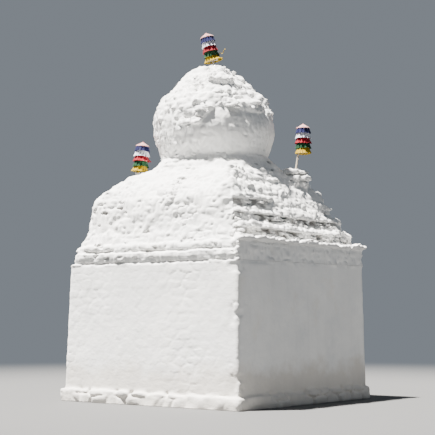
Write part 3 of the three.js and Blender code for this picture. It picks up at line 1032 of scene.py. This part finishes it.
TUBE_RADIUS = 0.103
TUBE_LENGTH = 0.425
FLOUNCE_PITCH = 0.086
FLOUNCE_DROP = 0.097
CLOTHS = {
    "blue": ((0.004, 0.005, 0.035), (0.010, 0.012, 0.075)),
    "white": ((0.50, 0.49, 0.56), (0.70, 0.69, 0.73)),
    "red": ((0.20, 0.003, 0.010), (0.30, 0.010, 0.02)),
    "green": ((0.005, 0.035, 0.012), (0.012, 0.07, 0.025)),
    "yellow": ((0.30, 0.19, 0.0005), (0.38, 0.25, 0.001)),
    "pink": ((0.34, 0.10, 0.10), (0.56, 0.40, 0.37)),
    "linen": ((0.50, 0.46, 0.38), (0.62, 0.58, 0.50)),
}
FLARES = {"blue": 0.018, "white": 0.019, "red": 0.026, "green": 0.021, "yellow": 0.032}
WIND = Vector((0.9, 0.35))
BLOWN = (("left", "red"), ("top", "yellow"))  # the flounces that a gust lifts


def banner_frame(name):
    """The matrix of the banner's cloth: origin at the tube's top, +Z along it"""
    _, top, along = long_axis(f"{name}_banner_liner")
    turn = Vector((0, 0, 1)).rotation_difference(Vector(along)).to_matrix().to_4x4()
    return Matrix.Translation(Vector(top)) @ turn


def round_grid(rows, columns):
    """The share of the way along and the angle round, for a grid of points"""
    t = np.linspace(0, 1, rows)[:, None]
    angle = np.linspace(0, 2 * np.pi, columns, endpoint=False)[None]
    return t, angle


def round_points(radius, angle, z, bend_x=0, bend_y=0):
    x = radius * np.cos(angle) + bend_x
    y = radius * np.sin(angle) + bend_y
    return np.stack([x, y, z + 0 * angle], -1)


def grid_faces(rows, columns, closed=True):
    faces = []
    for row in range(rows - 1):
        above, below = row * columns, (row + 1) * columns
        for j in range(columns if closed else columns - 1):
            k = (j + 1) % columns
            faces.append((above + j, below + j, below + k, above + k))
    return np.array(faces)


def place_cloth(name, points, matrix, material, node_name=None):
    """A sheet in the banner's frame"""
    turned = np.array(matrix.to_3x3())
    co = points.reshape(-1, 3) @ turned.T + np.array(matrix.translation)
    # Only the sheet that stands for no CAD node is open at its sides.
    faces = grid_faces(*points.shape[:2], closed=node_name is not None)
    thing = mesh_object(name, co, faces, material)
    if node_name:
        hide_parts(node_name)
    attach(thing, "root")


def flounce(banner, colour, index, matrix, material, seed):
    """A gathered strip that hangs from the tube: fine gathers at its top, loose folds at its hem"""
    random = np.random.default_rng(seed)
    t, angle = round_grid(15, 180)
    wind_way = np.arctan2(WIND.y, WIND.x)
    windward = 0.5 + 0.5 * np.cos(angle - wind_way)
    phases = random.uniform(0, 2 * np.pi, 6)
    warp = angle + 0.10 * np.sin(3 * angle + phases[0]) + 0.06 * np.sin(7 * angle + phases[1])
    folds = np.sin(13 * warp + phases[2]) + 0.35 * np.sin(29 * warp + phases[3])
    gathers = np.sin(41 * angle + phases[4])
    flare = FLARES[colour] * (t**1.2) * (1 + 0.25 * np.sin(2 * angle + phases[5]))
    gust = (0.030 if (banner, colour) in BLOWN else 0.006) * t**2 * windward
    radius = TUBE_RADIUS + 0.003 + flare + gust + 0.0085 * t**0.8 * folds + 0.0016 * (1 - t) * gathers
    radius = np.maximum(radius, TUBE_RADIUS + 0.001)
    ragged = 0.003 * np.sin(17 * angle + phases[1]) + 0.002 * np.sin(53 * angle + phases[0])
    drop = FLOUNCE_DROP * t * (1 - 0.04 * np.sin(2 * angle + phases[3])) + ragged * t**4
    drop = drop - 0.35 * gust * t
    z = -index * FLOUNCE_PITCH - drop
    place_cloth(
        f"{banner}_{colour}_gathered",
        round_points(radius, angle, z),
        matrix,
        material,
        node_name=f"{banner}_flounce_{colour}",
    )


def tube(banner, matrix, material):
    """The cloth tube that the flounces are sewn to"""
    t, angle = round_grid(40, 96)
    radius = TUBE_RADIUS - 0.002 - 0.004 * np.abs(np.sin(4 * angle + 3 * t)) * t
    place_cloth(
        f"{banner}_banner_tube",
        round_points(radius, angle, -TUBE_LENGTH * t),
        matrix,
        material,
        node_name=f"{banner}_banner_liner",
    )


def cap(banner, matrix, material, seed):
    """The pointed roof of the banner, with a soft valance round its rim"""
    random = np.random.default_rng(seed)
    t, angle = round_grid(26, 128)
    phases = random.uniform(0, 2 * np.pi, 3)
    rim = 0.78  # the share of the cloth that is roof
    roof = np.minimum(t / rim, 1)
    hang = np.maximum(t - rim, 0) / 0.22
    ribs = np.abs(np.sin(4 * angle + phases[0]))
    radius = 0.008 + 0.099 * roof**1.1 + 0.007 * hang + 0.004 * hang * np.sin(19 * angle + phases[1])
    sag = 0.007 * np.sin(np.pi * roof) * ribs
    z = 0.068 - 0.060 * roof**0.9 - sag - 0.020 * hang * (1 + 0.15 * np.sin(11 * angle + phases[2]))
    place_cloth(
        f"{banner}_banner_roof",
        round_points(radius, angle, z),
        matrix,
        material,
        node_name=f"{banner}_banner_cap",
    )


def stick(banner, material):
    """A crooked peeled stick with knots"""
    foot, tip, along = long_axis(f"{banner}_pole")
    length = np.linalg.norm(tip - foot)
    random = np.random.default_rng(len(banner) * 7)
    t, angle = round_grid(70, 20)
    knots = sum(0.0022 * np.exp(-((t - k) / 0.012) ** 2) for k in random.uniform(0.1, 0.95, 5))
    radius = 0.017 - 0.005 * t + knots + 0.0008 * np.sin(3 * angle + 9 * t)
    bend_x = 0.004 * np.sin(np.pi * t) * np.sin(5 * t + 1)
    bend_y = 0.005 * np.sin(np.pi * t) * np.cos(4 * t)
    points = round_points(radius, angle, length * t, bend_x, bend_y)
    turn = np.array(Vector((0, 0, 1)).rotation_difference(Vector(along)).to_matrix())
    co = points.reshape(-1, 3) @ turn.T + foot
    # The points run up the stick, so the faces are turned over to look outwards.
    thing = mesh_object(f"{banner}_stick", co, grid_faces(*points.shape[:2])[:, ::-1], material)
    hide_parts(f"{banner}_pole")
    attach(thing, "root")


def torn_strip(matrix, material):
    """A loose end of the top banner's yellow cloth, blown to the right"""
    t = np.linspace(0, 1, 30)[:, None]
    u = np.linspace(-0.5, 0.5, 5)[None]
    way = np.array(WIND) / math.hypot(*WIND)
    out = TUBE_RADIUS + 0.02 + 0.15 * t
    side = 0.022 * u * (1 - 0.4 * t) + 0.012 * np.sin(5 * t)
    z = -0.355 + 0.05 * t + 0.018 * np.sin(9 * t) + 0.006 * np.sin(14 * t + 3 * u)
    place_cloth(
        "top_torn_strip",
        np.stack([out * way[0] - side * way[1], out * way[1] + side * way[0], z], -1),
        matrix,
        material,
    )


def build_banners():
    cloths = {name: cloth_material(f"{name}_cloth", *pair) for name, pair in CLOTHS.items()}
    willow, wire = pole_material(), wire_material()
    for number, banner in enumerate(("top", "left", "right")):
        matrix = banner_frame(banner)
        stick(banner, willow)
        tube(banner, matrix, cloths["linen"])
        cap(banner, matrix, cloths["pink"], 100 + number)
        for index, colour in enumerate(FLARES):
            flounce(banner, colour, index, matrix, cloths[colour], 200 + 10 * number + index)
        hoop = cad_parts[f"{banner}_banner_hoop"]
        hoop.data.materials.clear()
        hoop.data.materials.append(wire)
    torn_strip(banner_frame("top"), cloths["yellow"])


# Stage

def floor_material():
    """Grey, and fading into the backdrop well away from the stupa"""
    material, nodes, links, shader = material_nodes("floor")
    set_inputs(shader, {"Base Color": (0.09, 0.09, 0.09, 1), "Roughness": 0.9})
    clear = nodes.new("ShaderNodeBsdfTransparent")
    fade = nodes.new("ShaderNodeMixShader")
    distance = node(nodes, "ShaderNodeVectorMath", operation="LENGTH")
    links.new(own_place(nodes), distance.inputs[0])
    share = node(nodes, "ShaderNodeMapRange", interpolation_type="SMOOTHSTEP")
    set_inputs(share, {"From Min": 5, "From Max": 16})
    links.new(distance.outputs["Value"], share.inputs["Value"])
    links.new(share.outputs[0], fade.inputs[0])
    links.new(shader.outputs[0], fade.inputs[1])
    links.new(clear.outputs[0], fade.inputs[2])
    links.new(fade.outputs[0], nodes["Material Output"].inputs["Surface"])
    return material


def build_stage():
    reach = 18
    co = np.array([(-reach, -reach, 0), (reach, -reach, 0), (reach, reach, 0), (-reach, reach, 0)], float)
    floor = mesh_object("floor", co, np.array([(0, 1, 2, 3)]), floor_material())

    scene = bpy.context.scene
    world = bpy.data.worlds.new("studio")
    scene.world = world
    world.use_nodes = True
    background = world.node_tree.nodes["Background"]
    set_inputs(background, {"Color": (0.66, 0.74, 0.84, 1), "Strength": SKY_STRENGTH})

    sun = bpy.data.lights.new("key", "SUN")
    sun.energy = SUN_ENERGY
    sun.angle = math.radians(3)
    sun.color = (1, 0.965, 0.91)
    key = bpy.data.objects.new("key", sun)
    key.rotation_euler = SUN_WAY.to_track_quat("Z", "Y").to_euler()
    scene.collection.objects.link(key)

    lens = bpy.data.cameras.new("camera")
    camera = bpy.data.objects.new("camera", lens)
    level = CAMERA_DISTANCE * VIEW_NEAR
    camera.location = Vector((*level, CAMERA_HEIGHT))
    aim = Vector((0, 0, AIM_HEIGHT)) - camera.location
    camera.rotation_euler = aim.to_track_quat("-Z", "Y").to_euler()
    lens.lens = LENS
    lens.clip_end = 400
    scene.collection.objects.link(camera)
    scene.camera = camera


build_masonry(limewash_material())
build_banners()
build_stage()
